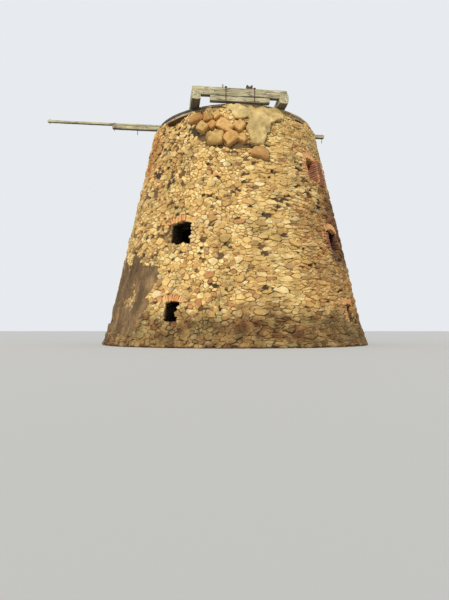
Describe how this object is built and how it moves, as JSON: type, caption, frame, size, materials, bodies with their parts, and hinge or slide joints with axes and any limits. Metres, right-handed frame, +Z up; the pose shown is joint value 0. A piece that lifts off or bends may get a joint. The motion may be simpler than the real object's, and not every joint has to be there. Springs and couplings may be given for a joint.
{
  "type": "ruined tower windmill",
  "caption": "Ruined traditional tower windmill: a tapered rubble-stone tower with window openings, a timber curb ring and the remains of the cap's base frame.",
  "frame": {"origin": "the tower's axis at ground level, in the underside of the ground floor", "axes": "+Z up along the tower's axis; the side seen in the picture faces -Y, and its right side is +X"},
  "size_m": [11.3272, 9.1199, 8.14],
  "materials": {
    "rubble": "matte",
    "brick": "matte",
    "mortar": "matte",
    "boulder": "matte",
    "old_render": "matte",
    "flagstone": "matte",
    "floor_timber": "matte",
    "weathered_timber": "matte",
    "rusty_iron": "matte"
  },
  "bodies": {
    "root": {"beam_peg": "weathered_timber", "boulder_course": "boulder", "brick_arches": "brick", "cross_spar": "weathered_timber", "curb_ring_lower": "weathered_timber", "curb_ring_upper": "weathered_timber", "far_cross_beam": "weathered_timber", "first_floor_beams": "floor_timber", "first_floor_boards": "floor_timber", "ground_floor_flags": "flagstone", "hanger_rods": "rusty_iron", "hung_bolster": "weathered_timber", "iron_bearing": "rusty_iron", "lower_facing_stones": "rubble", "lower_head_walls": "rubble", "lower_sill_walls": "rubble", "lower_wall_back_left": "rubble", "lower_wall_back_right": "rubble", "lower_wall_front_left": "rubble", "lower_wall_front_right": "rubble", "middle_facing_stones": "rubble", "middle_head_walls": "rubble", "middle_sill_walls": "rubble", "middle_wall_back_left": "rubble", "middle_wall_back_right": "rubble", "middle_wall_front_left": "rubble", "middle_wall_front_right": "rubble", "middle_window_brick_jamb": "brick", "mortar_patch": "mortar", "near_cross_beam": "weathered_timber", "old_render_coat": "old_render", "second_floor_beams": "floor_timber", "second_floor_boards": "floor_timber", "sheer_left": "weathered_timber", "sheer_right": "weathered_timber", "spar_bolts": "rusty_iron", "top_pole": "weathered_timber", "upper_facing_stones": "rubble", "upper_head_walls": "rubble", "upper_sill_walls": "rubble", "upper_wall_back_left": "rubble", "upper_wall_back_right": "rubble", "upper_wall_front_left": "rubble", "upper_wall_front_right": "rubble", "upper_window_brick_jamb": "brick"}
  },
  "joints": []
}
